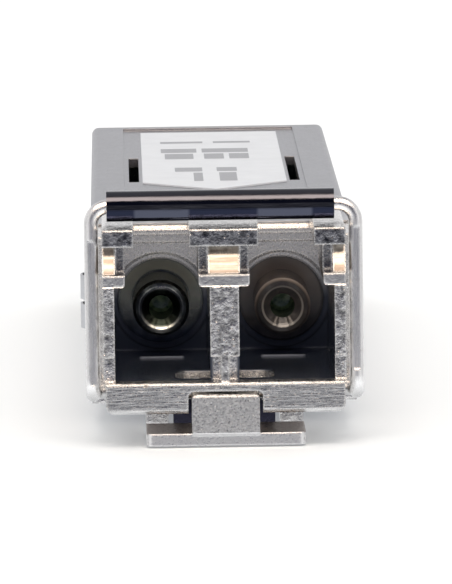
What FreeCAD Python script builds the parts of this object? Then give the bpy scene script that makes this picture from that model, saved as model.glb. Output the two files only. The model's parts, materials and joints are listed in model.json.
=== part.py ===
import FreeCAD, Part
import os
import Sketcher

# A pluggable optical transceiver with two LC ports and a wire bail latch.
# X runs across the module, Y from the nose to the edge contacts, Z up.
# Every drawing dimension below is measured from the nose's front plane (y), the underside of
# the body (z) and the centre plane (x); "shift_y" and "shift_z" then move each part so the
# origin is at the middle of the module's base.

V = FreeCAD.Vector
doc = FreeCAD.newDocument("transceiver")
sheet = doc.addObject("Spreadsheet::Sheet", "Sizes")

SIZES = [
    # whole module
    ("overall_len", 56.5, "nose front to shell rear"),
    ("body_half", 6.7, "half width of the shell"),
    ("body_high", 8.5, "underside to top of the shell"),
    ("foot_low", 1.63, "rocker foot below the underside"),
    ("shell_wall", 0.8, "side wall thickness"),
    ("floor_thick", 0.7, "tray floor"),
    ("split_z", 4.6, "height of the split between base and cover"),
    ("edge_bevel", 1.1, "bevel along the bottom edges"),
    # nose
    ("nose_half", 6.1, "half width of the nose"),
    ("nose_step", 0.12, "ports plane behind the bar"),
    ("nose_top", 9.53, "top of the nose flanges"),
    ("nose_back", 8.6, "rear of the raised nose"),
    ("lead_deep", 1.9, "rear of the slope on top of the flanges"),
    ("lead_drop", 0.23, "height of that slope"),
    ("wide_from", 4.2, "where the nose widens"),
    ("bar_half", 6.0, "half width of the bottom bar"),
    ("bar_top", 1.57, "top of the bottom bar and port floor"),
    ("notch_half", 1.88, "half width of the tongue's notch"),
    ("notch_top", 1.13, "top of the tongue's notch"),
    ("cavity_half", 2.5, "half width of the crank's cavity"),
    ("wall_front", 12.0, "front of the wall behind the ports"),
    ("wall_back", 13.0, "rear of that wall"),
    # ports
    ("port_x", 3.125, "port axis from the centre plane"),
    ("port_z", 4.15, "port axis height"),
    ("port_in", 0.73, "port inner side"),
    ("port_out", 5.52, "port outer side"),
    ("port_top", 6.41, "port ceiling"),
    ("ear_low", 7.02, "lower side of the ear slot"),
    ("ear_top", 8.45, "upper side of the ear slot"),
    ("ear_half", 2.335, "half width of the ear slot"),
    ("ear_deep", 1.7, "depth of the ear slot"),
    ("gap_half", 1.85, "half width of the gap below the ear slot"),
    ("neck_half", 1.4, "half width of the gap above the ear slot"),
    ("step_z", 2.87, "height where the divider narrows"),
    ("stem_half", 0.2, "half width of the divider's stem"),
    ("bore_r", 0.6275, "bore for a 1.25 mm ferrule"),
    ("bore_len", 2.9, "length of that bore"),
    ("stub_r", 1.05, "radius of the optical stub behind it"),
    ("barrel_r", 1.45, "barrel outside radius"),
    ("barrel_tip", 9.2, "front of the barrel"),
    ("flange_r", 2.4, "flange of the optical assembly"),
    ("ridge_half", 1.15, "half width of the ridge on the port floor"),
    ("ridge_at", 9.1, "front of that ridge"),
    # bail
    ("wire_r", 0.365, "bail wire radius"),
    ("arm_x", 6.63, "bail arm from the centre plane"),
    ("arm_y", 1.2, "bail arm behind the front plane"),
    ("bar_z", 10.40, "crossbar height"),
    ("hinge_y", 2.95, "bail hinge behind the front plane"),
    ("hinge_z", 0.78, "bail hinge height"),
    ("bend_r", 0.9, "wire bend radius"),
    ("hinge_bend", 0.48, "wire bend radius where it enters the nose"),
    ("journal_gap", 0.045, "radial clearance of the wire in its holes"),
    ("crank_off", 0.42, "crank offset"),
    ("crank_out", 1.6, "outer end of the crank pin"),
    ("crank_in", 0.3, "inner end of the crank pin"),
    ("sleeve_half", 5.7, "half length of the sleeve"),
    ("sleeve_slip", -0.14, "sleeve off centre along the crossbar"),
    ("sleeve_low", 9.65, "underside of the sleeve"),
    ("sleeve_top", 11.18, "top of the sleeve"),
    # rocker
    ("pin_y", 6.5, "rocker pin behind the front plane"),
    ("pin_z", -0.55, "rocker pin height"),
    ("pin_r", 0.4, "rocker pin radius"),
    ("pin_gap", 0.04, "radial clearance on the rocker pin"),
    ("foot_half", 4.0, "half width of the foot plate"),
    ("foot_top", -1.0, "top of the foot plate"),
    ("foot_back", 3.7, "rear of the foot plate"),
    ("tongue_half", 1.7, "half width of the tongue"),
    ("tongue_top", 0.98, "top of the tongue"),
    ("tongue_back", 1.9, "rear of the tongue"),
    ("spine_half", 1.35, "half width of the rocker's spine"),
    ("spine_top", 0.215, "top of the spine under the crank"),
    ("arm_low", 0.1, "underside of the rear arm"),
    ("arm_top", 0.5, "top of the rear arm"),
    ("boss_front", 11.5, "locking face of the latch boss"),
    ("boss_back", 13.6, "rear of the latch boss"),
    ("boss_half", 1.3, "half width of the latch boss"),
    ("boss_low", 0.45, "boss below the underside"),
    ("latch_ceiling", 1.42, "ceiling of the latch cavity"),
    ("latch_end", 14.2, "rear of the latch cavity"),
    # collar
    ("collar_front", 8.75, "front of the earthing collar"),
    ("collar_ring", 1.5, "length of the collar's ring"),
    ("collar_thick", 0.1, "collar sheet"),
    # board
    ("board_z", 2.25, "underside of the board"),
    ("board_thick", 1.0, "board thickness"),
    ("board_end", 53.3, "rear edge of the board"),
    ("board_front", 21.0, "front edge of the board"),
    ("board_half", 5.6, "half width of the board"),
    ("locate_x", 4.95, "locating pins from the centre plane"),
    ("tongue_w", 9.2, "width of the board's edge tongue"),
    ("tail_front", 44.5, "where the board narrows"),
    ("open_from", 46.1, "front of the opening under the board's tail"),
    ("screen_at", 45.6, "front of the cover's wall above the board"),
    ("contact_pitch", 0.8, "edge contact pitch"),
    ("contact_wide", 0.55, "edge contact width"),
    ("contact_len", 2.6, "edge contact length"),
    ("copper", 0.06, "thickness of the plated contacts"),
    # labels
    ("label_half", 3.9, "half width of the top label"),
    ("label_front", 28.5, "shoulders of the top label"),
    ("label_tip", 25.0, "tip of the top label"),
    ("label_thick", 0.08, "label thickness"),
    ("recess_half", 4.9, "half width of the label recess"),
    ("recess_deep", 0.14, "depth of the label recess"),
    ("recess_front", 23.5, "front of the label recess"),
]


class Dim:
    """A number together with the sheet expression that gives it."""

    def __init__(self, value, text):
        self.value = float(value)
        self.text = text

    @staticmethod
    def of(other):
        return other if isinstance(other, Dim) else Dim(other, repr(float(other)))

    def join(self, other, sign, value):
        return Dim(value, f"({self.text} {sign} {Dim.of(other).text})")

    def __add__(self, other):
        return self.join(other, "+", self.value + Dim.of(other).value)

    def __sub__(self, other):
        return self.join(other, "-", self.value - Dim.of(other).value)

    def __mul__(self, other):
        return self.join(other, "*", self.value * Dim.of(other).value)

    def __truediv__(self, other):
        return self.join(other, "/", self.value / Dim.of(other).value)

    def __radd__(self, other):
        return Dim.of(other) + self

    def __rsub__(self, other):
        return Dim.of(other) - self

    def __rmul__(self, other):
        return Dim.of(other) * self

    def __neg__(self):
        return 0 - self


def num(x):
    return Dim.of(x).value


def txt(x):
    return Dim.of(x).text


class Sizes:
    """The sheet's cells by alias."""


S = Sizes()
for row, (alias, value, note) in enumerate(SIZES, 1):
    sheet.set(f"A{row}", note)
    sheet.set(f"B{row}", str(value))
    sheet.setAlias(f"B{row}", alias)
    setattr(S, alias, Dim(value, f"Sizes.{alias}"))
doc.recompute()

shift_y = -S.overall_len / 2
shift_z = S.foot_low
made = []


# ---------------------------------------------------------------- helpers


def place(obj, x=0.0, y=0.0, z=0.0):
    """Bind a part's Placement to the sheet, in module coordinates."""
    obj.setExpression("Placement.Base.x", txt(Dim.of(x)))
    obj.setExpression("Placement.Base.y", txt(shift_y + y))
    obj.setExpression("Placement.Base.z", txt(shift_z + z))


def new_body(name, x=0.0, y=0.0, z=0.0):
    body = doc.addObject("PartDesign::Body", name)
    body.Label = name
    body.AllowCompound = True
    place(body, x, y, z)
    made.append(body)
    return body


def plane(body, role):
    return [f for f in body.Origin.OriginFeatures if f.Role == role][0]


def sketch(body, role, offset):
    """A sketch on one of the body's origin planes, moved along +X, +Y or +Z by offset."""
    sk = body.newObject("Sketcher::SketchObject", body.Name + "_sketch")
    sk.AttachmentSupport = [(plane(body, role), "")]
    sk.MapMode = "FlatFace"
    along = -Dim.of(offset) if role == "XZ_Plane" else Dim.of(offset)
    sk.setExpression("AttachmentOffset.Base.z", txt(along))
    return sk


def draw_loop(sk, points):
    """A closed loop of straight lines with each corner held by two dimensions."""
    first = sk.GeometryCount
    count = len(points)
    corners = [V(num(a), num(b), 0) for a, b in points]
    lines = [Part.LineSegment(corners[i], corners[(i + 1) % count]) for i in range(count)]
    sk.addGeometry(lines, False)
    joins = [
        Sketcher.Constraint("Coincident", first + i, 2, first + (i + 1) % count, 1)
        for i in range(count)
    ]
    sk.addConstraint(joins)
    for i, (a, b) in enumerate(points):
        across = sk.addConstraint(Sketcher.Constraint("DistanceX", -1, 1, first + i, 1, num(a)))
        sk.setExpression(f"Constraints[{across}]", txt(a))
        up = sk.addConstraint(Sketcher.Constraint("DistanceY", -1, 1, first + i, 1, num(b)))
        sk.setExpression(f"Constraints[{up}]", txt(b))


def draw_circle(sk, a, b, radius):
    index = sk.addGeometry(Part.Circle(V(num(a), num(b), 0), V(0, 0, 1), num(radius)), False)
    size = sk.addConstraint(Sketcher.Constraint("Radius", index, num(radius)))
    sk.setExpression(f"Constraints[{size}]", txt(radius))
    across = sk.addConstraint(Sketcher.Constraint("DistanceX", -1, 1, index, 3, num(a)))
    sk.setExpression(f"Constraints[{across}]", txt(a))
    up = sk.addConstraint(Sketcher.Constraint("DistanceY", -1, 1, index, 3, num(b)))
    sk.setExpression(f"Constraints[{up}]", txt(b))


def outline(body, role, offset, loops, circles=()):
    sk = sketch(body, role, offset)
    for loop in loops:
        draw_loop(sk, loop)
    for circle in circles:
        draw_circle(sk, *circle)
    return sk


def pad(body, sk, length):
    """Pad toward +X, +Y or +Z."""
    feature = body.newObject("PartDesign::Pad", body.Name + "_pad")
    feature.Profile = sk
    feature.Reversed = "XZ" in plane_of(sk)
    feature.setExpression("Length", txt(Dim.of(length)))
    return finish(body, feature, sk)


def pocket(body, sk, length):
    """Cut toward +X, +Y or +Z."""
    feature = body.newObject("PartDesign::Pocket", body.Name + "_pocket")
    feature.Profile = sk
    feature.Reversed = "XZ" not in plane_of(sk)
    feature.setExpression("Length", txt(Dim.of(length)))
    return finish(body, feature, sk)


def plane_of(sk):
    return sk.AttachmentSupport[0][0].Role


def finish(body, feature, sk=None):
    if sk is not None:
        sk.Visibility = False
    body.Tip = feature
    doc.recompute()
    return feature


def edges_at(feature, along, test):
    """Names of the straight edges along an axis ("x", "y" or "z") whose ends pass the test."""
    names = []
    for i, edge in enumerate(feature.Shape.Edges, 1):
        if len(edge.Vertexes) != 2:
            continue
        a, b = (v.Point for v in edge.Vertexes)
        if abs(getattr(a - b, along)) > 0.999 * edge.Length and test(a) and test(b):
            names.append(f"Edge{i}")
    if not names:
        raise RuntimeError(f"{feature.Name}: no edge to dress")
    return names


def dress(body, kind, size, along, test):
    """Fillet or chamfer the edges along an axis whose ends pass the test."""
    base = body.Tip
    feature = body.newObject("PartDesign::" + kind, f"{body.Name}_{kind.lower()}")
    feature.Base = (base, edges_at(base, along, test))
    feature.setExpression("Radius" if kind == "Fillet" else "Size", txt(Dim.of(size)))
    return finish(body, feature)


def near(a, b, slack=0.02):
    return abs(a - num(b)) < slack


def rect(x0, x1, z0, z1):
    return [(x0, z0), (x1, z0), (x1, z1), (x0, z1)]


def both_sides(loops):
    """Each loop, and its mirror image across the first axis."""
    return loops + [[(-Dim.of(a), b) for a, b in reversed(loop)] for loop in loops]


def revolve(body, sk):
    """Turn a half profile through a full circle about the sketch's second axis."""
    feature = body.newObject("PartDesign::Revolution", body.Name + "_turn")
    feature.Profile = sk
    feature.ReferenceAxis = (sk, ["V_Axis"])
    feature.Angle = 360
    return finish(body, feature, sk)


def shape_part(name, shape, x=0.0, y=0.0, z=0.0):
    """A part whose shape is set in code from the sheet's sizes."""
    feature = doc.addObject("Part::Feature", name)
    feature.Label = name
    feature.Shape = shape
    place(feature, x, y, z)
    made.append(feature)
    return feature


def bar_between(a, b, radius):
    """A round bar from a to b."""
    return Part.makeCylinder(num(radius), (b - a).Length, a, b - a)


# ---------------------------------------------------------------- shell


def make_base_housing():
    body = new_body("base_housing")
    top = S.nose_top
    # nose above the bar, the bar, then the wider part, then the tray
    pad(body, outline(body, "XZ_Plane", S.nose_step,
                      [rect(-S.nose_half, S.nose_half, S.bar_top - 0.05, top)]),
        S.nose_back - S.nose_step)
    pad(body, outline(body, "XZ_Plane", 0, [rect(-S.bar_half, S.bar_half, 0, S.bar_top)]),
        S.nose_back)
    wide = [rect(-S.body_half, S.body_half, 0, S.body_high)]
    pad(body, outline(body, "XZ_Plane", S.wide_from, wide), S.wall_back - S.wide_from)
    tray = [rect(-S.body_half, S.body_half, 0, S.split_z)]
    pad(body, outline(body, "XZ_Plane", S.nose_back, tray), S.overall_len - S.nose_back)

    # bevels under the tray, which start behind the nose
    bevel = [[(S.body_half - S.edge_bevel, -0.1), (S.body_half + 0.1, -0.1),
              (S.body_half + 0.1, S.edge_bevel), (S.body_half, S.edge_bevel),
              (S.body_half - S.edge_bevel, 0)]]
    pocket(body, outline(body, "XZ_Plane", 28.5, both_sides(bevel)), 30)

    # inside of the tray: a channel for the optics, then a deeper one for the board
    inner = S.body_half - S.shell_wall
    pocket(body, outline(body, "XZ_Plane", S.wall_back,
                         [rect(-inner, inner, S.latch_ceiling + 0.25, S.split_z + 0.1)]), 8.2)
    pocket(body, outline(body, "XZ_Plane", S.wall_back + 8,
                         [rect(-inner, inner, S.board_z, S.split_z + 0.1)]), 40)
    pocket(body, outline(body, "XZ_Plane", S.wall_back + 8,
                         [rect(-4.6, 4.6, S.floor_thick, S.board_z + 0.1)]), 40)
    # the tail is open below, with only the side walls
    pocket(body, outline(body, "XZ_Plane", S.open_from,
                         [rect(-inner, inner, -0.1, S.split_z + 0.1)]), 12)

    # the front steps back in a band across the ear slots, and low down beside the stem
    band = [(-0.1, S.ear_low), (0.35, S.ear_low), (0.95, S.ear_top), (-0.1, S.ear_top)]
    pocket(body, outline(body, "YZ_Plane", -7, [band]), 14)
    pocket(body, outline(body, "XZ_Plane", -0.1,
                         both_sides([rect(S.stem_half, S.port_in + 0.1, S.bar_top, S.step_z)])), 1.3)
    pocket(body, outline(body, "XZ_Plane", -0.1, both_sides(
        [rect(S.port_out - 0.1, S.nose_half + 0.1, S.bar_top, S.step_z)])), 0.8)

    # slope on top of the flanges, which the sleeve passes as it swings forward
    lead = [(-0.2, top - S.lead_drop), (S.nose_step, top - S.lead_drop), (S.lead_deep, top),
            (S.lead_deep, top + 0.2), (-0.2, top + 0.2)]
    pocket(body, outline(body, "YZ_Plane", -7, [lead]), 14)

    # ports, with the gaps and ear slots above them
    for side in (-1, 1):
        x = side * S.port_x
        low = [rect(x - (S.port_out - S.port_in) / 2, x + (S.port_out - S.port_in) / 2,
                    S.bar_top, S.port_top)]
        pocket(body, outline(body, "XZ_Plane", -0.1, low), S.wall_front + 0.1)
        pocket(body, outline(body, "XZ_Plane", -0.1,
                             [rect(x - S.gap_half, x + S.gap_half, S.port_top - 0.1, S.ear_top)]),
               S.nose_back + 0.1)
        pocket(body, outline(body, "XZ_Plane", -0.1,
                             [rect(x - S.ear_half, x + S.ear_half, S.ear_low, S.ear_top)]),
               S.ear_deep + 0.1)
        pocket(body, outline(body, "XZ_Plane", -0.1,
                             [rect(x - S.neck_half, x + S.neck_half, S.ear_top - 0.1, top + 0.1)]),
               S.nose_back + 0.2)
        pocket(body, outline(body, "XZ_Plane", S.nose_back - 0.1,
                             [rect(x - S.ear_half, x + S.ear_half, S.port_top - 0.1, 7.27)]),
               S.wall_front - S.nose_back + 0.1)
        pocket(body, outline(body, "XZ_Plane", S.nose_back - 0.1,
                             [rect(x - S.gap_half, x + S.gap_half, 7.2, 8.0)]), 2.7)
        # low ridge across the port's floor under the barrel
        ridge = rect(x - S.ridge_half, x + S.ridge_half, S.bar_top - 0.05, S.bar_top + 0.1)
        pad(body, outline(body, "XZ_Plane", S.ridge_at, [ridge]), 0.25)
        # stepped hole in the wall for the barrel
        pocket(body, outline(body, "XZ_Plane", S.wall_front - 0.1, [], [(x, S.port_z, 2.2)]), 1.3)
        pocket(body, outline(body, "XZ_Plane", S.wall_front - 0.1, [], [(x, S.port_z, 2.5)]), 0.35)

    # rounded corners between the port ceilings and the gaps above them
    sills = [S.port_x - S.gap_half, S.port_x + S.gap_half]
    dress(body, "Fillet", 0.18, "y",
          lambda p: near(p.z, S.port_top) and any(near(abs(p.x), edge) for edge in sills))

    # notch for the tongue, and the cavity for the crank behind it
    pocket(body, outline(body, "XZ_Plane", -0.1,
                         [rect(-S.notch_half, S.notch_half, -0.1, S.notch_top)]), 6.0)
    dress(body, "Fillet", 0.3, "y",
          lambda p: near(abs(p.x), S.notch_half) and near(p.z, S.notch_top) and p.y < 6.5)
    slot = [rect(-S.cavity_half, S.cavity_half, 1.6, 4.5)]
    pocket(body, outline(body, "XY_Plane", -0.1, slot), S.bar_top + 0.15)
    dress(body, "Fillet", 0.6, "z",
          lambda p: near(abs(p.x), S.cavity_half) and (near(p.y, 1.6) or near(p.y, 4.5)))
    # latch cavity behind the ears
    pocket(body, outline(body, "XZ_Plane", 5.4,
                         [rect(-S.notch_half, S.notch_half, -0.1, S.latch_ceiling)]),
           S.latch_end - 5.4)

    # holes for the bail's journals
    journal = S.wire_r + S.journal_gap
    pocket(body, outline(body, "YZ_Plane", -7, [], [(S.hinge_y, S.hinge_z, journal)]), 14)

    # ears for the rocker pin
    ears = both_sides([rect(2.85, S.foot_half, -1.35, 0.1)])
    pad(body, outline(body, "XZ_Plane", 5.4, ears), 2.2)
    dress(body, "Fillet", 0.7, "x", lambda p: near(p.z, -1.35) and near(p.y, 7.6))
    pocket(body, outline(body, "YZ_Plane", -5, [], [(S.pin_y, S.pin_z, S.pin_r)]), 10)

    # bevels along the bar's front edges, and soft outside corners
    dress(body, "Chamfer", 0.2, "x", lambda p: near(p.y, 0) and near(p.z, 0))
    dress(body, "Chamfer", 0.07, "x", lambda p: near(p.y, 0) and near(p.z, S.bar_top))
    dress(body, "Fillet", 0.45, "y",
          lambda p: near(abs(p.x), S.bar_half) and near(p.z, 0) and p.y < 4.3)
    dress(body, "Fillet", 0.35, "y", lambda p: near(abs(p.x), S.nose_half) and near(p.z, top))
    # pins on the ledges that locate the board
    pins = [(side * S.locate_x, S.board_front + 1.2, 0.3) for side in (-1, 1)]
    pad(body, outline(body, "XY_Plane", S.board_z - 0.05, [], pins), S.board_thick + 0.4)
    return body


def make_top_cover():
    body = new_body("top_cover", z=S.split_z)
    high = S.body_high - S.split_z
    inner = S.body_half - S.shell_wall
    front = S.wall_back + 0.05
    pad(body, outline(body, "XZ_Plane", front, [rect(-S.body_half, S.body_half, 0, high)]),
        S.overall_len - front)
    # inside
    pocket(body, outline(body, "XZ_Plane", front - 0.1,
                         [rect(-inner, inner, -0.1, high - 0.65)]), S.overall_len)
    dress(body, "Fillet", 0.4, "y", lambda p: near(abs(p.x), S.body_half) and near(p.z, high))
    # label recess and two long slots
    recess = [rect(-S.recess_half, S.recess_half, S.recess_front, S.overall_len - 1.2)]
    pocket(body, outline(body, "XY_Plane", high - S.recess_deep, recess), 1)
    slots = [rect(4.085, 4.635, 29.4, 41.0)]
    pocket(body, outline(body, "XY_Plane", high - 1.0, both_sides(slots)), 2)
    # posts that hold the board down on its ledges, and the driver's pad
    posts = both_sides([rect(4.75, 5.85, 24.0, 25.6), rect(4.75, 5.85, 40.5, 42.1)])
    under = S.board_z + S.board_thick - S.split_z + 0.01
    pad(body, outline(body, "XY_Plane", under, posts), high - under - 0.5)
    pedestal = [rect(-4.2, -0.6, 26.8, 30.4)]
    pad(body, outline(body, "XY_Plane", 0.3, pedestal), high - 0.8)
    # wall across the inside, which closes the rear above the board
    screen = [rect(-inner - 0.1, inner + 0.1, under + 0.15, high - 0.5)]
    pad(body, outline(body, "XZ_Plane", S.screen_at, screen), 0.8)
    # bevelled rear edge
    dress(body, "Chamfer", 0.3, "x", lambda p: near(p.y, S.overall_len) and near(p.z, high))
    return body


def make_collar():
    body = new_body("emi_collar", y=S.collar_front)
    skin = S.collar_thick
    half = S.body_half + 0.02
    low = Dim.of(-0.02)
    high = S.body_high + 0.02
    ring = [rect(-half - skin, half + skin, low - skin, high + skin), rect(-half, half, low, high)]
    pad(body, outline(body, "XZ_Plane", 0, ring), S.collar_ring)

    def finger(x):
        """Side view of one bowed finger, leaning away from a face at x."""
        return [(x, S.collar_ring - 0.3), (x + skin, S.collar_ring - 0.3),
                (x + 0.54, S.collar_ring + 1.0), (x + 0.54, S.collar_ring + 1.5),
                (x + 0.12, S.collar_ring + 2.7), (x + 0.02, S.collar_ring + 2.7),
                (x + 0.42, S.collar_ring + 1.45), (x + 0.42, S.collar_ring + 1.05)]

    # side fingers
    for level in (2.95, 4.45):
        pad(body, outline(body, "XY_Plane", level, both_sides([finger(half)])), 1.25)
    # top and bottom fingers, drawn in side view
    def turned(points, flip):
        return [(y, flip * z) for z, y in points]

    for x in (-5.9, -3.5, -1.1, 1.3, 3.7):
        pad(body, outline(body, "YZ_Plane", x, [turned(finger(high), 1)]), 2.1)
    for x in (-5.4, -3.7, 2.2, 3.9):
        pad(body, outline(body, "YZ_Plane", x, [turned(finger(-low), -1)]), 1.5)
    return body


# ---------------------------------------------------------------- latch


def make_bail_wire():
    """One bent wire, drawn from the middle of its crossbar to its two cranked ends."""
    r = num(S.wire_r)
    bend = num(S.bend_r)
    tight = num(S.hinge_bend)
    x = num(S.arm_x)
    y = num(S.arm_y) - num(S.hinge_y)
    top = num(S.bar_z) - num(S.hinge_z)
    off = num(S.crank_off)

    def elbow(corner, start, end, bend=num(S.bend_r)):
        """A quarter bend that turns from direction start to direction end at a corner."""
        centre = corner - start * bend + end * bend
        ring = Part.makeCircle(r, corner - start * bend, start)
        face = Part.Face(Part.Wire(ring))
        axis = start.cross(end)
        return face.revolve(centre, axis, 90)

    pieces = []
    for side in (-1, 1):
        across = V(side, 0, 0)
        up = V(0, 0, 1)
        back = V(0, 1, 0)
        top_corner = V(side * x, y, top)
        low_corner = V(side * x, y, 0)
        hinge_corner = V(side * x, 0, 0)
        pieces.append(bar_between(V(0, y, top), top_corner - across * bend, r))
        pieces.append(elbow(top_corner, across, -up))
        pieces.append(bar_between(top_corner - up * bend, low_corner + up * bend, r))
        pieces.append(elbow(low_corner, -up, back))
        pieces.append(bar_between(low_corner + back * bend, hinge_corner - back * tight, r))
        pieces.append(elbow(hinge_corner, back, -across, tight))
        web = num(S.crank_out) + 0.5
        pieces.append(bar_between(hinge_corner - across * tight, V(side * (web - 0.5), 0, 0), r))
        pieces.append(bar_between(V(side * web, -off, 0), V(side * num(S.crank_in), -off, 0), r))
        bridge = Part.makeBox(0.5, off, 2 * r, V(side * (web - 0.25) - 0.25, -off, -r))
        pieces.append(bridge)
    wire = pieces[0].fuse(pieces[1:]).removeSplitter()
    # flats pressed into the front of each arm
    depth = 0.06
    press = Part.makeBox(20, 1, top - 2.3, V(-20, y - r - 1 + depth, 0.6))
    short = Part.makeBox(20, 1, top - 2.4, V(0, y - r - 1 + depth, 1.25))
    return shape_part("bail_wire", wire.cut(press).cut(short), y=S.hinge_y, z=S.hinge_z)


def make_bail_sleeve():
    body = new_body("bail_sleeve", x=S.sleeve_slip, y=S.arm_y, z=S.bar_z)
    half = (S.sleeve_top - S.sleeve_low) / 2
    mid = (S.sleeve_top + S.sleeve_low) / 2 - S.bar_z
    block = [rect(-half, half, mid - half, mid + half)]
    hole = [(0, 0, S.wire_r)]
    pad(body, outline(body, "YZ_Plane", -S.sleeve_half, block, hole), 2 * S.sleeve_half)
    dress(body, "Fillet", half - 0.12, "x",
          lambda p: near(abs(p.y), half) and near(abs(p.z - num(mid)), half))
    return body


def make_rocker():
    body = new_body("latch_rocker", y=S.pin_y, z=S.pin_z)

    def side(points):
        return [(y - S.pin_y, z - S.pin_z) for y, z in points]

    # spine and rear arm in side view
    spine = side([
        (S.tongue_back - 0.1, S.foot_top - 0.1), (4.9, S.foot_top - 0.1), (5.6, -1.12),
        (7.3, -1.12), (8.1, S.arm_low), (S.boss_back, S.arm_low), (S.boss_back, S.arm_top),
        (7.6, S.arm_top), (7.0, S.spine_top), (S.tongue_back - 0.1, S.spine_top),
    ])
    pad(body, outline(body, "YZ_Plane", -S.spine_half, [spine]), 2 * S.spine_half)
    tongue = side([(0, S.foot_top - 0.1), (S.tongue_back, S.foot_top - 0.1),
                   (S.tongue_back, S.tongue_top), (0.12, S.tongue_top), (0, S.tongue_top - 0.12)])
    pad(body, outline(body, "YZ_Plane", -S.tongue_half, [tongue]), 2 * S.tongue_half)
    dress(body, "Fillet", 0.25, "y",
          lambda p: near(abs(p.x), S.tongue_half) and near(p.z, S.tongue_top - S.pin_z))
    foot = side([(0.05, -S.foot_low), (S.foot_back, -S.foot_low), (S.foot_back, S.foot_top),
                 (0.05, S.foot_top)])
    pad(body, outline(body, "YZ_Plane", -S.foot_half, [foot]), 2 * S.foot_half)
    # latch boss, square in front and ramped behind
    boss = side([(S.boss_front, -S.boss_low), (S.boss_front + 0.9, -S.boss_low),
                 (S.boss_back, -0.02), (S.boss_back, S.arm_low + 0.1),
                 (S.boss_front, S.arm_low + 0.1)])
    pad(body, outline(body, "YZ_Plane", -S.boss_half, [boss]), 2 * S.boss_half)
    # hub that fills the space between the ears
    hub = side([(5.75, -1.4), (7.25, -1.4), (7.25, -0.1), (5.75, -0.1)])
    pad(body, outline(body, "YZ_Plane", -2.6, [hub]), 5.2)
    pocket(body, outline(body, "YZ_Plane", -5, [], [(0, 0, S.pin_r + S.pin_gap)]), 10)
    # rounded front corners of the foot
    dress(body, "Fillet", 0.35, "z",
          lambda p: near(abs(p.x), S.foot_half) and near(p.y, 0.05 - num(S.pin_y)))
    return body


def make_rocker_pin():
    body = new_body("rocker_pin", x=-3.9, y=S.pin_y, z=S.pin_z)
    pad(body, outline(body, "YZ_Plane", 0, [], [(0, 0, S.pin_r)]), 7.8)
    return body


def make_latch_spring():
    """A folded strip between the cavity's ceiling and the rocker's rear arm."""
    body = new_body("latch_spring", x=-1.0, z=0)
    low = S.arm_top + 0.01
    high = S.latch_ceiling - 0.01
    strip = [(8.3, high), (8.3, high - 0.12), (10.35, high - 0.12), (10.6, high - 0.3),
             (8.9, low + 0.12), (8.75, low + 0.03), (8.85, low), (9.1, low), (10.85, high - 0.3),
             (10.5, high)]
    pad(body, outline(body, "YZ_Plane", 0, [strip]), 2.0)
    return body


# ---------------------------------------------------------------- optics


def make_optics(prefix, side, can_r, back):
    """The barrel, stub, can, header and leads of one optical assembly, front to rear."""
    x = side * S.port_x
    z = S.port_z
    tip = S.barrel_tip

    def turned(name, front, profile):
        body = new_body(f"{prefix}_{name}", x=x, y=front, z=z)
        revolve(body, outline(body, "XY_Plane", 0, [profile]))
        return body

    # barrel with a stepped mouth
    turned("barrel", tip, [
        (S.bore_r, 0.35), (0.9, 0.12), (1.1, 0), (S.barrel_r - 0.15, 0.05), (S.barrel_r, 0.25),
        (S.barrel_r, 3.85), (S.flange_r, 3.85), (S.flange_r, 4.75), (S.barrel_r + 0.3, 4.75),
        (S.barrel_r + 0.3, 6.6), (S.stub_r, 6.6), (S.stub_r, S.bore_len + 0.35),
        (S.bore_r, S.bore_len + 0.35),
    ])
    turned("stub", tip + S.bore_len + 0.35, [
        (0, 0.06), (0.45, 0), (S.bore_r, 0.06), (S.stub_r, 0.06), (S.stub_r, 2.9), (0, 2.9),
    ])
    turned("can", tip + 6.6, [
        (0, 0), (can_r, 0), (can_r, back - 0.5), (can_r + 0.25, back - 0.45),
        (can_r + 0.25, back), (0, back),
    ])
    turned("header", tip + 6.6 + back, [
        (0, 0), (can_r + 0.3, 0), (can_r + 0.3, 0.45), (can_r - 0.3, 0.7), (0, 0.7),
    ])
    leads = new_body(f"{prefix}_leads", x=x, y=tip + 7.3 + back, z=z)
    spots = [(a * 0.9, b * 0.9, 0.18) for a in (-1, 1) for b in (-1, 1)]
    pad(leads, outline(leads, "XZ_Plane", 0, [], spots), 0.9)

    # flexible circuit: a plate on the leads, then a bend down to the board
    flex = new_body(f"{prefix}_flex", x=x - 1.6, y=tip + 7.3 + back, z=0)
    near_y = 0.35
    low = S.board_z + S.board_thick + 0.01
    far = S.board_front - (tip + 7.3 + back) + 2.6
    strip = [(near_y, z + 1.5), (near_y, low + 0.35), (near_y + 0.4, low), (far, low),
             (far, low + 0.12), (near_y + 0.5, low + 0.12), (near_y + 0.12, low + 0.45),
             (near_y + 0.12, z + 1.5)]
    pad(flex, outline(flex, "YZ_Plane", 0, [strip]), 3.2)
    holes = [(1.6 + a * 0.9, z + b * 0.9, 0.18) for a in (-1, 1) for b in (-1, 1)]
    pocket(flex, outline(flex, "XZ_Plane", 0, [], holes), 1.0)


def make_optics_clamp():
    """A slotted plate dropped over both assemblies behind their flanges."""
    body = new_body("optics_clamp", y=S.barrel_tip + 4.8)
    inner = S.body_half - S.shell_wall - 0.05
    pad(body, outline(body, "XZ_Plane", 0, [rect(-inner, inner, 2.0, 7.6)]), 0.7)
    reach = S.barrel_r + 0.32
    slots = both_sides([rect(S.port_x - reach, S.port_x + reach, 1.9, S.port_z)])
    pocket(body, outline(body, "XZ_Plane", -0.1, slots), 1)
    rounds = [(side * S.port_x, S.port_z, reach) for side in (-1, 1)]
    pocket(body, outline(body, "XZ_Plane", -0.1, [], rounds), 1)
    tabs = [rect(-4.0, -2.2, 0.6, 2.0), rect(2.2, 4.0, 0.6, 2.0)]
    pad(body, outline(body, "XY_Plane", 7.2, tabs), 0.4)
    return body


# ---------------------------------------------------------------- board


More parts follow.
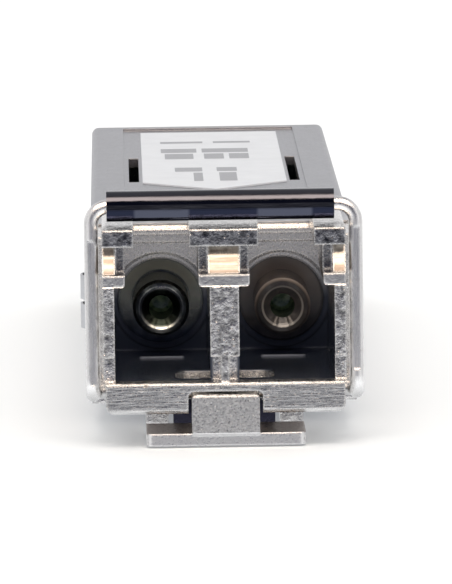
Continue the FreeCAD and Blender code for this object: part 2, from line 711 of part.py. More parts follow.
def make_board():
    body = new_body("circuit_board", y=S.board_front, z=S.board_z)
    tail = S.tongue_w / 2
    length = S.board_end - S.board_front
    waist = S.tail_front - S.board_front
    plan = [(-S.board_half, 0), (S.board_half, 0), (S.board_half, waist), (tail, waist + 0.7),
            (tail, length), (-tail, length), (-tail, waist + 0.7), (-S.board_half, waist)]
    pad(body, outline(body, "XY_Plane", 0, [plan]), S.board_thick)
    dress(body, "Chamfer", 0.25, "x", lambda p: near(p.y, length))
    holes = [(side * S.locate_x, 1.2, 0.36) for side in (-1, 1)]
    pocket(body, outline(body, "XY_Plane", -0.1, [], holes), 1.3)
    return body


def make_contacts(name, z):
    """Ten plated fingers in a row along the board's rear edge."""
    body = new_body(name, y=S.board_end - 0.6, z=z)
    middle = -4.5 * S.contact_pitch
    finger = [rect(middle - S.contact_wide / 2, middle + S.contact_wide / 2, -S.contact_len, 0)]
    first = pad(body, outline(body, "XY_Plane", 0, finger), S.copper)
    row = body.newObject("PartDesign::LinearPattern", name + "_row")
    row.Originals = [first]
    row.Direction = (plane(body, "X_Axis"), [""])
    row.setExpression("Length", txt(9 * S.contact_pitch))
    row.Occurrences = 10
    finish(body, row)
    return body


def make_chip(name, x, y, size_x, size_y, high, on_top=True):
    z = S.board_z + S.board_thick + 0.005 if on_top else S.board_z - high - 0.005
    body = new_body(name, x=x, y=y, z=z)
    plan = [rect(-size_x / 2, size_x / 2, -size_y / 2, size_y / 2)]
    pad(body, outline(body, "XY_Plane", 0, plan), high)
    dress(body, "Chamfer", 0.08, "x", lambda p: near(p.z, high))
    dress(body, "Chamfer", 0.08, "y", lambda p: near(p.z, high))
    return body


def make_small_parts(name, spots, size_x, size_y, high):
    """A group of like parts on the board's top, one solid each."""
    body = new_body(name, z=S.board_z + S.board_thick + 0.005)
    half_x = size_x / 2
    half_y = size_y / 2
    loops = [rect(x - half_x, x + half_x, y - half_y, y + half_y) for x, y in spots]
    pad(body, outline(body, "XY_Plane", 0, loops), high)
    return body


def make_thermal_pad():
    low = S.board_z + S.board_thick + 0.9
    body = new_body("thermal_pad", x=-2.4, y=28.6, z=low + 0.005)
    pad(body, outline(body, "XY_Plane", 0, [rect(-1.6, 1.6, -1.6, 1.6)]),
        S.split_z + 0.29 - low)
    return body


def make_labels():
    top = new_body("top_label", z=S.body_high - S.recess_deep + 0.005)
    end = S.overall_len - 3.0
    plan = [(0, S.label_tip), (S.label_half, S.label_front), (S.label_half, end),
            (-S.label_half, end), (-S.label_half, S.label_front)]
    pad(top, outline(top, "XY_Plane", 0, [plan]), S.label_thick)
    low = new_body("bottom_label", z=-S.label_thick - 0.005)
    pad(low, outline(low, "XY_Plane", 0, [rect(-4.6, 4.6, 20.0, 42.0)]), S.label_thick)


# ---------------------------------------------------------------- build and export

make_base_housing()
make_top_cover()
make_collar()
make_bail_wire()
make_bail_sleeve()
make_rocker()
make_rocker_pin()
make_latch_spring()
make_optics("tx", -1, 1.9, 2.4)
make_optics("rx", 1, 2.0, 2.0)
make_optics_clamp()
make_board()
make_contacts("contacts_top", S.board_z + S.board_thick + 0.005)
make_contacts("contacts_bottom", S.board_z - S.copper - 0.005)
make_chip("laser_driver", -2.4, 28.6, 3.2, 3.2, 0.9)
make_chip("receive_amplifier", 2.4, 28.2, 3.0, 3.0, 0.9)
make_chip("controller", 0, 35.2, 5.0, 5.0, 1.0)
make_chip("memory_chip", 0, 34.0, 3.0, 4.4, 0.9, on_top=False)
make_small_parts("capacitors", [(-3.8, 31.7), (-2.6, 31.7), (3.4, 31.4), (2.2, 31.4), (-4.0, 36.0),
                                (4.0, 36.4), (4.0, 34.6), (-4.0, 34.2)], 0.55, 1.0, 0.5)
make_small_parts("resistors", [(-3.6, 39.4), (-2.4, 39.4), (-1.2, 39.4), (1.2, 39.4), (2.4, 39.4),
                               (3.6, 39.4)], 0.5, 1.0, 0.35)
make_small_parts("inductors", [(-2.6, 43.0), (0, 43.0), (2.6, 43.0)], 1.6, 2.0, 1.1)
make_thermal_pad()
make_labels()

doc.recompute()
os.makedirs("parts", exist_ok=True)
for item in made:
    shape = item.Shape
    if shape.isNull() or not shape.isValid():
        raise RuntimeError(f"{item.Label}: bad shape")
    shape.exportStep(f"parts/{item.Label}.step")
    print(item.Label, len(shape.Solids), round(shape.Volume, 3))
for item in doc.Objects:
    if "Invalid" in item.State or "Error" in item.State:
        raise RuntimeError(f"{item.Name}: {item.State}")
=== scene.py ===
import json
import math

import bmesh
import bpy
from mathutils import Matrix, Vector


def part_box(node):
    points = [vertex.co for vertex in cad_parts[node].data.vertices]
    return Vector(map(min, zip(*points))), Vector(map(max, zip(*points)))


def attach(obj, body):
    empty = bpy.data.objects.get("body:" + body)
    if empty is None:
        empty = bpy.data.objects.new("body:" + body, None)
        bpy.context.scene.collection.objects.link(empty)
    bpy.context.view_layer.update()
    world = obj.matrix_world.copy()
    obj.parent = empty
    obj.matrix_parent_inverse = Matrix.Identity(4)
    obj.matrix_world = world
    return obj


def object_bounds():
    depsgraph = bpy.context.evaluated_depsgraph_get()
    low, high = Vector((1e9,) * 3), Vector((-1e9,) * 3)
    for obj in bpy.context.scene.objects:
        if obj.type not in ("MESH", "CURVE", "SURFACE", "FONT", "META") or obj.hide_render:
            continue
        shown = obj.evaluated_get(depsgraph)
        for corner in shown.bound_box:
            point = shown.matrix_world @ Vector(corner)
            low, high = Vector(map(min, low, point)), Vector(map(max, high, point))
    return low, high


# Lengths are in metres unless a name or a comment says millimetres. Materials work in millimetres
# of the row frame, because that is what every CAD node's object coordinates are in.

MM = 0.001
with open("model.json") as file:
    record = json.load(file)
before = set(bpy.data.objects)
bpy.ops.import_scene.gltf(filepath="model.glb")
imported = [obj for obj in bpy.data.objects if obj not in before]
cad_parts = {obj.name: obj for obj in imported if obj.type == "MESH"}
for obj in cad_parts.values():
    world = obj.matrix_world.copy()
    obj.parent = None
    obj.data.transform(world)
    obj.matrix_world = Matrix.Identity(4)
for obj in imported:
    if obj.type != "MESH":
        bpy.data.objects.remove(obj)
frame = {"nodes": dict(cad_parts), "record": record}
cad_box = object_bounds()
LOW = Vector(cad_box[0])

# places on the object, from the CAD boxes
HOUSING_LOW = Vector(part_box("base_housing")[0])
COVER_HIGH = Vector(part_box("top_cover")[1])
LABEL_LOW, LABEL_HIGH = (Vector(c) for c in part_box("top_label"))

# the same places in millimetres: the nose's front face, the shell's underside, and the ports' axes
SHELL_HEIGHT = 8.5
FRONT = HOUSING_LOW.y / MM
UNDER = COVER_HIGH.z / MM - SHELL_HEIGHT
PORT_X = 3.125
PORT_Z = UNDER + 4.15

# heights on the front of the nose, in millimetres
BAR_TOP = UNDER + 1.5
PORT_TOP = UNDER + 6.36
SILL_LOW = UNDER + 6.42
SILL_TOP = UNDER + 7.0
NECK_TOP = UNDER + 8.42
FLANGE_LOW = UNDER + 8.46
FLANGE_TOP = UNDER + 9.24

# ------------------------------------------------------------------ node helpers


class Graph:
    """A material's node tree, with short calls for the nodes used here."""

    def __init__(self, name, colour):
        self.material = bpy.data.materials.new(name)
        self.material.use_nodes = True
        self.material.diffuse_color = (*colour, 1)
        self.tree = self.material.node_tree
        self.shader = self.tree.nodes["Principled BSDF"]
        coords = self.add("ShaderNodeTexCoord")
        self.mm = self.math("MULTIPLY", coords.outputs["Object"], (1000, 1000, 1000), vector=True)
        self.x, self.y, self.z = self.split(self.mm)

    def add(self, kind, **settings):
        node = self.tree.nodes.new(kind)
        for key, value in settings.items():
            setattr(node, key, value)
        return node

    def wire(self, source, socket):
        self.tree.links.new(source, socket)

    def feed(self, socket, value):
        """Link an output, or set a plain value."""
        if isinstance(value, bpy.types.NodeSocket):
            self.wire(value, socket)
        else:
            socket.default_value = value

    # arithmetic

    def math(self, operation, a, b=None, vector=False):
        node = self.add("ShaderNodeVectorMath" if vector else "ShaderNodeMath", operation=operation)
        for socket, value in zip(node.inputs, (a, b)):
            if value is not None:
                self.feed(socket, value)
        return node.outputs[0]

    def split(self, vector):
        node = self.add("ShaderNodeSeparateXYZ")
        self.wire(vector, node.inputs[0])
        return node.outputs[0:3]

    def times(self, *values):
        """A product of numbers, or the overlap of masks."""
        result = values[0]
        for value in values[1:]:
            result = self.math("MULTIPLY", result, value)
        return result

    def total(self, *values):
        result = values[0]
        for value in values[1:]:
            result = self.math("ADD", result, value)
        return result

    def invert(self, mask):
        """0 where the mask is 1, and 1 where it is 0."""
        return self.math("SUBTRACT", 1.0, mask)

    def either(self, a, b):
        """The greater of two masks."""
        return self.math("MAXIMUM", a, b)

    def ramp(self, value, low, high, to_low=0.0, to_high=1.0):
        """A straight ramp, held level past both ends."""
        node = self.add("ShaderNodeMapRange")
        self.feed(node.inputs["Value"], value)
        for key, setting in (("From Min", low), ("From Max", high), ("To Min", to_low),
                             ("To Max", to_high)):
            self.feed(node.inputs[key], setting)
        return node.outputs["Result"]

    def above(self, value, limit, soft=0.05):
        """1 above the limit and 0 below it, with a soft step between."""
        return self.ramp(value, limit - soft, limit + soft)

    def below(self, value, limit, soft=0.05):
        """1 below the limit and 0 above it, with a soft step between."""
        return self.ramp(value, limit - soft, limit + soft, 1.0, 0.0)

    def between(self, value, low, high, soft=0.05):
        """1 where low < value < high, 0 outside."""
        return self.times(self.above(value, low, soft), self.below(value, high, soft))

    def mix(self, fac, a, b):
        """A colour between a and b."""
        node = self.add("ShaderNodeMix", data_type="RGBA")
        self.feed(node.inputs["Factor"], fac)
        self.feed(node.inputs["A"], (*a, 1) if isinstance(a, tuple) else a)
        self.feed(node.inputs["B"], (*b, 1) if isinstance(b, tuple) else b)
        return node.outputs["Result"]

    def blend(self, fac, a, b):
        """A number between a and b."""
        node = self.add("ShaderNodeMix", data_type="FLOAT")
        self.feed(node.inputs["Factor"], fac)
        self.feed(node.inputs["A"], a)
        self.feed(node.inputs["B"], b)
        return node.outputs["Result"]

    # patterns

    def noise(self, scale, detail=3.0, rough=0.55, stretch=(1, 1, 1)):
        """Noise with so many lumps per millimetre, drawn out along an axis by a small stretch."""
        node = self.add("ShaderNodeTexNoise")
        self.wire(self.math("MULTIPLY", self.mm, stretch, vector=True), node.inputs["Vector"])
        node.inputs["Scale"].default_value = scale
        node.inputs["Detail"].default_value = detail
        node.inputs["Roughness"].default_value = rough
        return node.outputs["Fac"]

    def cells(self, scale):
        """Distance to the nearest of scattered points, of which there are so many per millimetre."""
        node = self.add("ShaderNodeTexVoronoi", feature="F1")
        self.wire(self.mm, node.inputs["Vector"])
        node.inputs["Scale"].default_value = scale
        return node.outputs["Distance"]

    # places

    def port_radius(self, axis_x):
        """Distance from a port's axis, in millimetres."""
        across = self.math("SUBTRACT", self.x, axis_x)
        up = self.math("SUBTRACT", self.z, PORT_Z)
        return self.math("SQRT", self.total(self.times(across, across), self.times(up, up)))

    def lit_ring(self, axis_x, inner, outer):
        """A ring on the flange round a barrel, fading out towards its lower half, where light is painted.
        """
        ring = self.between(self.port_radius(axis_x), inner, outer, 0.06)
        return self.times(ring, self.ramp(self.z, UNDER + 3.0, UNDER + 5.2))

    def mouth_ring(self, axis_x, inner, outer):
        """A ring on the front rim of a barrel, between two radii."""
        ring = self.between(self.port_radius(axis_x), inner, outer, 0.02)
        return self.times(ring, self.below(self.y, FRONT + 9.35))

    def rounded(self, radius_mm, samples):
        """The surface's normal, as if its edges had this radius."""
        node = self.add("ShaderNodeBevel", samples=samples)
        node.inputs["Radius"].default_value = radius_mm * MM
        return node.outputs[0]

    def edges(self, width_mm):
        """1 along the object's sharp edges, 0 elsewhere."""
        dot = self.add("ShaderNodeVectorMath", operation="DOT_PRODUCT")
        self.wire(self.rounded(width_mm, 6), dot.inputs[0])
        self.wire(self.add("ShaderNodeNewGeometry").outputs["Normal"], dot.inputs[1])
        return self.ramp(dot.outputs["Value"], 0.985, 0.90)

    # surface

    def bump(self, height, depth_mm, strength=1.0, edge_mm=0.0):
        """Relief of a given depth, over edges that look rounded when edge_mm is given."""
        node = self.add("ShaderNodeBump")
        self.feed(node.inputs["Height"], height)
        node.inputs["Distance"].default_value = depth_mm * MM
        self.feed(node.inputs["Strength"], strength)
        if edge_mm:
            self.wire(self.rounded(edge_mm, 4), node.inputs["Normal"])
        return node.outputs["Normal"]

    def set(self, **values):
        names = {"colour": "Base Color", "metal": "Metallic", "rough": "Roughness", "normal": "Normal",
                 "coat": "Coat Weight", "coat_rough": "Coat Roughness", "ior": "IOR",
                 "specular": "Specular IOR Level"}
        for key, value in values.items():
            if isinstance(value, tuple):
                value = (*value, 1)
            self.feed(self.shader.inputs[names[key]], value)


# ------------------------------------------------------------------ metals


def nose_zones(g):
    """Masks on the lower casting, each 1 in its own zone and 0 elsewhere."""
    across = g.math("ABSOLUTE", g.x)
    at_front = g.below(g.y, FRONT + 1.2, 0.1)
    behind = g.ramp(g.y, FRONT + 5.0, FRONT + 8.0)
    hollow = g.times(behind, g.below(across, 5.80), g.above(g.z, UNDER + 1.45))
    neck_height = g.between(g.z, SILL_TOP, NECK_TOP, 0.04)
    beside_neck = g.either(g.between(across, 0.85, 1.45), g.between(across, 4.85, 5.42))
    in_port = g.times(g.between(across, 0.6, 5.6, 0.06), g.between(g.z, BAR_TOP, PORT_TOP, 0.06),
                      g.ramp(g.y, FRONT + 0.75, FRONT + 1.1))
    ridge = g.times(g.between(g.y, FRONT + 10.1, FRONT + 10.5, 0.02),
                    g.between(g.z, UNDER + 1.62, UNDER + 1.75, 0.02))
    return {
        "at_front": at_front,
        "behind": behind,
        # the bar below the ports, and the sill, neck and flanges above them
        "bar": g.times(g.below(g.z, BAR_TOP + 0.04, 0.04), g.below(g.y, FRONT + 0.45, 0.15)),
        "sill": g.times(g.between(g.z, SILL_LOW, SILL_TOP, 0.04), at_front),
        "neck": g.times(neck_height, at_front),
        # the ear slots' walls beside the neck, where shade is painted
        "wings": g.times(beside_neck, neck_height, g.between(g.y, FRONT - 0.1, FRONT + 5.0)),
        "flange": g.times(g.between(g.z, FLANGE_LOW, FLANGE_TOP, 0.04), at_front),
        # the ports' walls, where shade is painted dark, fading out towards their tops, without the ridge
        # on their floor
        "port_shade": g.times(in_port, g.ramp(g.z, UNDER + 4.2, UNDER + 6.2, 1.0, 0.15), g.invert(ridge)),
        # the inside of the tray behind the nose, where light is painted pale over its shade, and the
        # tray's outside
        "hollow": hollow,
        "tray": g.times(g.ramp(g.y, FRONT + 8.7, FRONT + 10.3), g.invert(hollow)),
    }


def housing_metal():
    """The nose casting: brushed bar, rough flanges; painted reflection and shade on the neck, painted
    highlights on sill and edges, painted shade beside the neck and in the ports, painted light in the
    hollow.
    """
    light, dark = (0.90, 0.885, 0.87), (0.27, 0.265, 0.26)
    g = Graph("cast_nickel", light)
    zone = nose_zones(g)
    lumps = g.noise(2.6, 4.0, 0.6)
    fine = g.noise(11.0, 2.0, 0.6)
    pits = g.ramp(g.cells(3.0), 0.03, 0.2)
    dents = g.ramp(g.cells(0.9), 0.06, 0.16)
    brushed = g.noise(7.0, 3.0, 0.65, stretch=(0.14, 1, 1.6))
    streaks = g.noise(5.0, 3.0, 0.6, stretch=(1.4, 1, 0.12))
    # horizontal stripes for the painted reflection on the neck
    reflection_bands = g.ramp(g.noise(2.2, 3.0, 0.6, stretch=(0.1, 1, 1.6)), 0.40, 0.60)

    # relief: lumpy all over, brushed on the bar, nearly smooth on the neck and sill, faint behind
    height = g.total(g.times(lumps, 0.75), g.times(pits, 0.35), g.times(fine, 0.2))
    height = g.blend(zone["bar"], height, g.total(g.times(brushed, 0.5), g.times(dents, 0.5)))
    smooth = g.either(zone["neck"], g.times(zone["sill"], 0.7))
    height = g.blend(smooth, height, g.times(streaks, 0.16))
    strength = g.blend(g.either(zone["port_shade"], zone["behind"]), 1.0, 0.10)

    # mottling, strongest at the front
    shade = g.times(g.ramp(lumps, 0.32, 0.60), pits)
    mottle = g.invert(g.times(g.invert(shade), g.blend(zone["at_front"], 0.3, 1.0)))

    # tones, each laid over the ones before it
    bar = g.mix(g.ramp(brushed, 0.3, 0.65), (0.45, 0.45, 0.45), (0.72, 0.71, 0.70))
    # painted reflection: warm horizontal stripes on the neck
    neck = g.mix(reflection_bands, (0.24, 0.20, 0.165), (0.43, 0.395, 0.35))
    # painted shade: darker towards the neck's foot
    neck_foot_shade = g.ramp(g.z, SILL_TOP + 0.05, SILL_TOP + 0.4)
    layers = [
        ("bar", g.mix(dents, (0.10, 0.10, 0.10), bar)),
        ("flange", g.mix(mottle, (0.03, 0.032, 0.042), (0.46, 0.46, 0.48))),
        # painted highlight: the sill painted bright
        ("sill", (0.86, 0.85, 0.83)),
        ("neck", g.mix(neck_foot_shade, (0.15, 0.12, 0.10), neck)),
        # painted shade: the walls beside the neck darker
        ("wings", g.mix(g.ramp(lumps, 0.3, 0.7), (0.30, 0.295, 0.30), (0.42, 0.415, 0.42))),
        # painted light: the hollow behind the nose painted pale
        ("hollow", (0.95, 0.91, 0.86)),
        ("tray", (0.47, 0.475, 0.50)),
    ]
    tone = g.mix(mottle, dark, light)
    for place, layer in layers:
        tone = g.mix(zone[place], tone, layer)
    # painted highlight along the rounded edges at the front
    edge_highlight = g.times(g.edges(0.16), g.below(g.y, FRONT + 2.75, 0.25), 0.85)
    tone = g.mix(edge_highlight, tone, (0.97, 0.95, 0.92))
    # painted shade: the ports' walls darkened towards navy
    tone = g.mix(zone["port_shade"], tone, (0.10, 0.112, 0.145))

    rough = g.blend(smooth, g.ramp(fine, 0.3, 0.7, 0.17, 0.32), 0.22)
    rough = g.blend(zone["tray"], rough, 0.32)
    rough = g.blend(zone["port_shade"], rough, 0.16)
    g.set(colour=tone, metal=g.blend(zone["port_shade"], 1.0, 0.55), rough=rough,
          normal=g.bump(height, 0.06, strength=strength, edge_mm=0.18))
    return g.material


def shell_metal():
    """The cover's plating: a fine grain with small pits and faint stains."""
    light, dark = (0.415, 0.42, 0.45), (0.34, 0.345, 0.37)
    stained = tuple(0.88 * c for c in light)
    g = Graph("shell_nickel", light)
    lumps = g.noise(4.0, 4.0, 0.6)
    fine = g.noise(16.0, 2.0, 0.6)
    pits = g.ramp(g.cells(4.4), 0.02, 0.22)
    stain = g.ramp(g.noise(0.9, 3.0), 0.35, 0.7)
    height = g.total(g.times(lumps, 0.7), g.times(fine, 0.22), g.times(pits, 0.25))
    shade = g.times(g.ramp(lumps, 0.32, 0.62), pits)
    g.set(colour=g.mix(shade, dark, g.mix(stain, light, stained)), metal=1.0,
          rough=g.ramp(fine, 0.3, 0.7, 0.26, 0.42), normal=g.bump(height, 0.012, edge_mm=0.08))
    return g.material


def rocker_metal():
    """Sand-blasted tongue; painted highlight on the foot's front, painted reflection on the plate's top,
    painted shade in the recess behind the tongue.
    """
    g = Graph("rocker_nickel", (0.70, 0.69, 0.68))
    grit = g.noise(9.0, 4.0, 0.65)
    speck = g.ramp(g.cells(5.0), 0.02, 0.2)
    foot_top = UNDER - 1.0
    foot_front = g.times(g.ramp(g.z, foot_top - 0.02, foot_top + 0.03, 1.0, 0.0),
                         g.below(g.y, FRONT + 0.15))
    plate_top = g.times(g.between(g.z, foot_top - 0.03, foot_top + 0.06, 0.03),
                        g.ramp(g.y, FRONT + 0.12, FRONT + 0.2))
    # the recess behind the tongue, where shade is painted
    recess = g.times(g.between(g.y, FRONT + 3.8, FRONT + 9.0, 0.2),
                     g.ramp(g.z, UNDER - 1.39, UNDER - 1.34))
    height = g.times(g.total(g.times(grit, 0.7), g.times(speck, 0.25)), g.blend(foot_front, 1.0, 0.25))
    shade = g.times(g.ramp(grit, 0.32, 0.62), speck)
    tone = g.mix(shade, (0.46, 0.455, 0.45), (0.80, 0.79, 0.78))
    # painted highlight: the foot's front face painted bright
    tone = g.mix(foot_front, tone, (0.90, 0.89, 0.88))
    # painted reflection: the plate's top painted dark brown
    tone = g.mix(plate_top, tone, (0.26, 0.215, 0.19))
    # painted shade in the recess behind the tongue
    tone = g.mix(recess, tone, (0.045, 0.045, 0.07))
    g.set(colour=tone, metal=1.0, rough=g.ramp(grit, 0.3, 0.7, 0.24, 0.38),
          normal=g.bump(height, 0.04, edge_mm=0.12))
    return g.material


def wire_metal():
    """The bail's drawn wire, faintly specked, with painted shade at its lower ends."""
    g = Graph("wire_steel", (0.74, 0.74, 0.73))
    drawn = g.noise(9.0, 3.0, 0.6, stretch=(1, 1, 0.05))
    speck = g.ramp(g.noise(3.0, 4.0), 0.55, 0.75)
    bright = g.mix(speck, (0.96, 0.95, 0.94), (0.83, 0.82, 0.80))
    # painted shade: the wire darker towards its lower ends
    lower_end_shade = g.ramp(g.z, UNDER + 1.3, UNDER + 0.5)
    g.set(colour=g.mix(lower_end_shade, bright, (0.44, 0.435, 0.43)), metal=1.0,
          rough=g.ramp(drawn, 0.3, 0.7, 0.2, 0.34), normal=g.bump(drawn, 0.008, edge_mm=0.16))
    return g.material


def sheet_metal(name, tone, rough=0.28, along=(1, 0.08, 1)):
    """Rolled or satin-plated sheet with a drawn-out grain."""
    g = Graph(name, tone)
    streak = g.noise(6.0, 3.0, 0.6, stretch=along)
    cloud = g.noise(0.5, 2.0)
    darker = tuple(0.8 * c for c in tone)
    g.set(colour=g.mix(g.ramp(cloud, 0.3, 0.7), darker, tone), metal=1.0,
          rough=g.ramp(streak, 0.3, 0.7, rough, rough + 0.12), normal=g.bump(streak, 0.006, edge_mm=0.06))
    return g.material


def barrel_metal():
    """Dark turned metal with painted shade in its bore, a bright rim, and painted light on an olive ring
    on its flange.
    """
    g = Graph("tx_barrel_metal", (0.10, 0.10, 0.11))
    turned = g.noise(10.0, 2.0, 0.5, stretch=(0.2, 1, 0.2))
    bore_shade = g.ramp(g.port_radius(-PORT_X), 1.0, 0.92)
    lit_ring = g.lit_ring(-PORT_X, 1.5, 2.1)
    rim = g.mouth_ring(-PORT_X, 1.0, 1.16)
    tone = g.mix(g.ramp(turned, 0.3, 0.7), (0.10, 0.11, 0.105), (0.24, 0.255, 0.24))
    # painted shade inside the bore
    tone = g.mix(bore_shade, tone, (0.040, 0.050, 0.040))
    # painted light: a pale olive ring on the flange, lit at its top
    tone = g.mix(lit_ring, tone, (0.60, 0.60, 0.50))
    tone = g.mix(rim, tone, (0.62, 0.64, 0.60))
    g.set(colour=tone, metal=g.invert(lit_ring), rough=0.2, normal=g.bump(turned, 0.006))
    return g.material


# ------------------------------------------------------------------ plastic, glass, board, film


def sleeve_plastic():
    """Glossy navy-black sleeve; on its low front strip a painted reflection of the flanges below, darkest
    over the flanges and lighter over their gaps.
    """
    g = Graph("sleeve_plastic", (0.02, 0.022, 0.045))
    swirl = g.noise(1.6, 3.0, 0.6, stretch=(0.25, 1, 1))
    scuff = g.ramp(g.noise(6.0, 4.0, 0.7, stretch=(0.3, 1, 1)), 0.58, 0.8)
    over_gap = g.between(g.math("ABSOLUTE", g.x), 1.72, 4.45, 0.08)
    # the low front strip, where a reflection of the flanges is painted
    low = g.times(g.below(g.z, UNDER + 10.31), g.below(g.y, FRONT + 1.75, 0.15))
    tone = g.mix(scuff, (0.086, 0.086, 0.100), (0.105, 0.104, 0.114))
    # painted reflection: the low strip lighter, as over the flanges' gaps
    tone = g.mix(low, tone, (0.080, 0.087, 0.120))
    # painted reflection: darkest over the flanges
    tone = g.mix(g.times(low, g.invert(over_gap)), tone, (0.022, 0.026, 0.048))
    g.set(colour=tone, metal=1.0, rough=g.ramp(swirl, 0.3, 0.7, 0.10, 0.18),
          normal=g.bump(swirl, 0.015))
    return g.material


def amber_plastic():
    """Dark amber barrel with a paler rim, and painted light on a ring on its flange."""
    g = Graph("amber_plastic", (0.30, 0.17, 0.08))
    cloud = g.noise(0.8, 3.0, 0.6)
    lit_ring = g.lit_ring(PORT_X, 1.35, 2.1)
    rim = g.mouth_ring(PORT_X, 0.98, 1.08)
    tone = g.mix(g.ramp(cloud, 0.3, 0.7), (0.044, 0.040, 0.040), (0.095, 0.080, 0.072))
    # painted light: a paler ring on the flange, lit at its top
    tone = g.mix(lit_ring, tone, (0.42, 0.34, 0.29))
    tone = g.mix(rim, tone, (0.30, 0.27, 0.24))
    g.set(colour=tone, rough=0.14, normal=g.bump(cloud, 0.02), ior=1.6, coat=0.3, coat_rough=0.05)
    return g.material


def stub_glass():
    """The optical stub behind a bore: green and glossy, not see-through."""
    g = Graph("stub_glass", (0.25, 0.40, 0.30))
    haze = g.noise(4.0, 2.0)
    g.set(colour=g.mix(g.ramp(haze, 0.3, 0.7), (0.10, 0.17, 0.09), (0.30, 0.40, 0.22)), rough=0.06,
          coat=1.0, coat_rough=0.03, ior=1.7)
    return g.material


def two_tone(name, tone, other, rough, scale=3.0, depth=0.01, metal=0.0):
    """A moulded, printed, plated or fired surface with two close tones and a fine relief."""
    g = Graph(name, tone)
    grain = g.noise(scale, 4.0, 0.6)
    g.set(colour=g.mix(g.ramp(grain, 0.35, 0.65), tone, other), metal=metal,
          rough=g.ramp(grain, 0.3, 0.7, rough, rough + 0.1), normal=g.bump(grain, depth))
    return g.material


def board_resin():
    """Solder mask over faint patches of traces, which run along the board."""
    g = Graph("board_resin", (0.04, 0.22, 0.10))
    lanes = g.between(g.math("FRACT", g.times(g.x, 1.3)), 0.35, 0.62, 0.03)
    patches = g.ramp(g.noise(0.45, 1.0), 0.5, 0.52)
    traces = g.times(lanes, patches)
    g.set(colour=g.mix(traces, (0.02, 0.14, 0.06), (0.05, 0.27, 0.11)), rough=0.3,
          normal=g.bump(traces, 0.03), coat=0.4, coat_rough=0.15)
    return g.material


def label_film():
    """Satin pale grey film, slightly cloudy."""
    g = Graph("label_film", (0.88, 0.89, 0.90))
    cloud = g.noise(0.7, 3.0)
    g.set(colour=g.mix(g.ramp(cloud, 0.3, 0.7), (0.62, 0.63, 0.655), (0.67, 0.68, 0.705)), rough=0.34,
          normal=g.bump(g.noise(5.0), 0.004))
    return g.material


# the material of each slot in the record
MATERIALS = {
    "cast_nickel": housing_metal(),
    "shell_nickel": shell_metal(),
    "rocker_nickel": rocker_metal(),
    "spring_steel": sheet_metal("spring_steel", (0.62, 0.63, 0.65)),
    "wire_steel": wire_metal(),
    "sleeve_plastic": sleeve_plastic(),
    "tx_barrel_metal": barrel_metal(),
    "amber_plastic": amber_plastic(),
    "stub_glass": stub_glass(),
    "can_metal": sheet_metal("can_metal", (0.72, 0.70, 0.62), 0.2, (1, 1, 1)),
    "gold": two_tone("gold", (0.86, 0.62, 0.24), (0.76, 0.54, 0.20), 0.18, 6.0, 0.004, metal=1.0),
    "flex_film": two_tone("flex_film", (0.50, 0.27, 0.06), (0.42, 0.21, 0.04), 0.24, 2.0),
    "board_resin": board_resin(),
    "chip_plastic": two_tone("chip_plastic", (0.022, 0.022, 0.025), (0.035, 0.035, 0.037), 0.42, 12.0),
    "ceramic": two_tone("ceramic", (0.45, 0.30, 0.18), (0.38, 0.25, 0.15), 0.4, 6.0),
    "resistor_body": two_tone("resistor_body", (0.04, 0.04, 0.05), (0.07, 0.07, 0.08), 0.35, 6.0),
    "ferrite": two_tone("ferrite", (0.06, 0.06, 0.06), (0.10, 0.10, 0.10), 0.5, 5.0),
    "pad_rubber": two_tone("pad_rubber", (0.30, 0.38, 0.52), (0.26, 0.33, 0.46), 0.6, 4.0),
    "label_film": label_film(),
}


def dress_nodes():
    """Each CAD node takes the material of its slot in the record."""
    for entry in frame["record"]["subparts"]:
        node = frame["nodes"][entry["node"]]
        node.data.materials.clear()
        node.data.materials.append(MATERIALS[entry["material_slot"]])


# ------------------------------------------------------------------ the label's print


def add_mesh(name, points, faces, material):
    mesh = bpy.data.meshes.new(name)
    mesh.from_pydata(points, [], faces)
    mesh.materials.append(material)
    piece = bpy.data.objects.new(name, mesh)
    bpy.context.collection.objects.link(piece)
    return piece


def flat_bars(name, rects, z, material, body="shell"):
    """Flat printed bars at one height z, each (x0, x1, y0, y1) in millimetres."""
    points, faces = [], []
    for x0, x1, y0, y1 in rects:
        first = len(points)
        points += [(x0 * MM, y0 * MM, z), (x1 * MM, y0 * MM, z), (x1 * MM, y1 * MM, z),
                   (x0 * MM, y1 * MM, z)]
        faces.append((first, first + 1, first + 2, first + 3))
    piece = add_mesh(name, points, faces, material)
    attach(piece, body)


def label_print():
    """Plain grey blocks and bars where a real label has its wording."""
    ink = two_tone("label_ink", (0.27, 0.275, 0.30), (0.34, 0.345, 0.37), 0.4, 6.0, 0.002)
    lift = 0.004 * MM
    margin = 3.4
    front = LABEL_LOW.y / MM + margin
    # each row in millimetres: how far back it starts, how deep it is, and its bars from left to right
    rows = [(0.4, 4.0, [(-1.1, -0.6), (0.3, 1.25)]),
            (5.0, 1.9, [(-2.1, -0.6), (0.2, 1.3)]),
            (11.2, 2.6, [(-2.6, -1.0), (-0.4, 0.7), (1.0, 2.1)]),
            (14.4, 2.0, [(-2.8, -0.8), (-0.5, 2.1)]),
            (19.2, 0.9, [(-2.8, -0.4), (0.2, 2.3)])]
    bars = [(x0, x1, front + y, front + y + deep) for y, deep, spans in rows for x0, x1 in spans]
    flat_bars("label_bars", bars, LABEL_HIGH.z + lift, ink)


# ------------------------------------------------------------------ camera, lights and floor


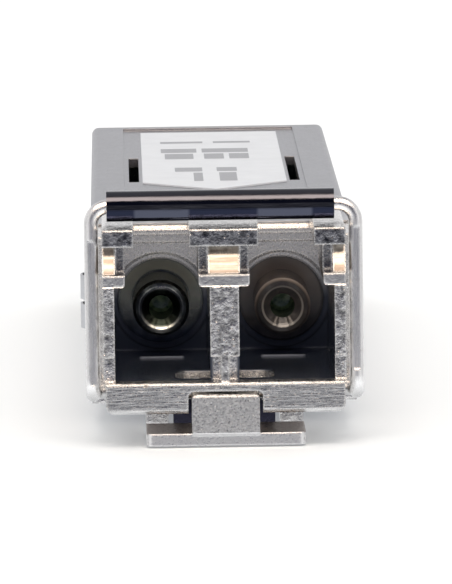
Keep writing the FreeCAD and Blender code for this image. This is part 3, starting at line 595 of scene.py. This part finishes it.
def photo_camera():
    """Nearly level from in front, a long lens, turned a little about all three axes."""
    distance = 0.340
    pitch, yaw, roll = math.radians(7.5), math.radians(0.9), math.radians(0.78)
    target = Vector((0.08 * MM, FRONT * MM, (UNDER + 6.15) * MM))
    forward = Vector((math.sin(yaw) * math.cos(pitch), math.cos(yaw) * math.cos(pitch),
                      -math.sin(pitch)))
    right = forward.cross(Vector((0, 0, 1))).normalized()
    up = right.cross(forward)
    up = up * math.cos(roll) + right * math.sin(roll)
    right = forward.cross(up).normalized()
    turn = Matrix((right, up, -forward)).transposed()
    data = bpy.data.cameras.new("photo_camera")
    data.sensor_width = 36.0
    data.lens = 419.0
    data.clip_start = 0.01
    data.clip_end = 20.0
    camera = bpy.data.objects.new("photo_camera", data)
    bpy.context.collection.objects.link(camera)
    camera.matrix_world = Matrix.Translation(target - forward * distance) @ turn.to_4x4()
    bpy.context.scene.camera = camera


def floor():
    """White paper just below the foot, so that a thin line of shadow shows under it."""
    half_width = 3.0
    gap = 0.10 * MM
    corners = [(-half_width, -half_width, 0), (half_width, -half_width, 0),
               (half_width, half_width, 0), (-half_width, half_width, 0)]
    g = Graph("floor_paper", (0.93, 0.94, 0.95))
    g.set(colour=(0.95, 0.96, 0.965), rough=0.7, specular=0.2)
    obj = add_mesh("floor", corners, [(0, 1, 2, 3)], g.material)
    obj.location.z = LOW.z - gap
    obj.visible_glossy = False


def room_light():
    """The room in mirrors: dark in front, a warm soft box above it, a white table, pale all round."""
    g = Graph("room", (0.5, 0.5, 0.5))
    x, y, z = g.split(g.math("NORMALIZE", g.mm, vector=True))
    beside = g.math("ABSOLUTE", x)
    in_front = g.times(g.ramp(y, -0.05, -0.40), g.ramp(beside, 0.75, 0.45))
    soft_box = g.times(g.between(z, 0.54, 0.92, 0.06), in_front)
    table = g.ramp(z, -0.15, -0.40)
    dark = g.mix(g.ramp(z, -0.20, -0.02), (0.36, 0.36, 0.38), (0.030, 0.036, 0.075))
    room = g.mix(g.ramp(z, 0.25, 0.75), (0.88, 0.88, 0.89), (0.42, 0.42, 0.44))
    room = g.mix(g.ramp(beside, 0.82, 0.95), room, (0.60, 0.60, 0.61))
    room = g.mix(in_front, room, dark)
    room = g.mix(soft_box, room, (5.4, 4.6, 3.9))
    room = g.mix(table, room, (1.10, 1.11, 1.13))
    light = g.add("ShaderNodeEmission")
    g.wire(room, light.inputs["Color"])
    g.wire(light.outputs[0], g.tree.nodes["Material Output"].inputs["Surface"])
    return g.material


def reflection_dome():
    """A sphere all round that only reflections see."""
    mesh = bpy.data.meshes.new("reflection_dome")
    build = bmesh.new()
    bmesh.ops.create_uvsphere(build, u_segments=48, v_segments=24, radius=4.0)
    build.to_mesh(mesh)
    build.free()
    mesh.materials.append(room_light())
    dome = bpy.data.objects.new("reflection_dome", mesh)
    bpy.context.collection.objects.link(dome)
    dome.visible_camera = False
    dome.visible_diffuse = False
    dome.visible_shadow = False
    dome.visible_transmission = False


def top_light():
    """A warm soft box above and in front, which reflections don't see."""
    data = bpy.data.lights.new("top_box", "AREA")
    data.shape = "RECTANGLE"
    data.size = 0.35
    data.size_y = 0.2
    data.energy = 0.8
    data.color = (1.0, 0.93, 0.84)
    lamp = bpy.data.objects.new("top_box", data)
    bpy.context.collection.objects.link(lamp)
    place = Vector((0.0, -0.25, 0.5))
    lamp.location = place
    lamp.rotation_euler = (-place).to_track_quat("-Z", "Y").to_euler()
    lamp.visible_glossy = False


def studio():
    """White surround, one soft box above, and the room for the reflections."""
    world = bpy.data.worlds.new("studio")
    bpy.context.scene.world = world
    world.use_nodes = True
    background = world.node_tree.nodes["Background"]
    background.inputs["Color"].default_value = (1.0, 1.0, 1.0, 1)
    background.inputs["Strength"].default_value = 1.02
    bpy.context.scene.view_settings.view_transform = "Standard"
    top_light()
    reflection_dome()


dress_nodes()
label_print()
photo_camera()
studio()
floor()
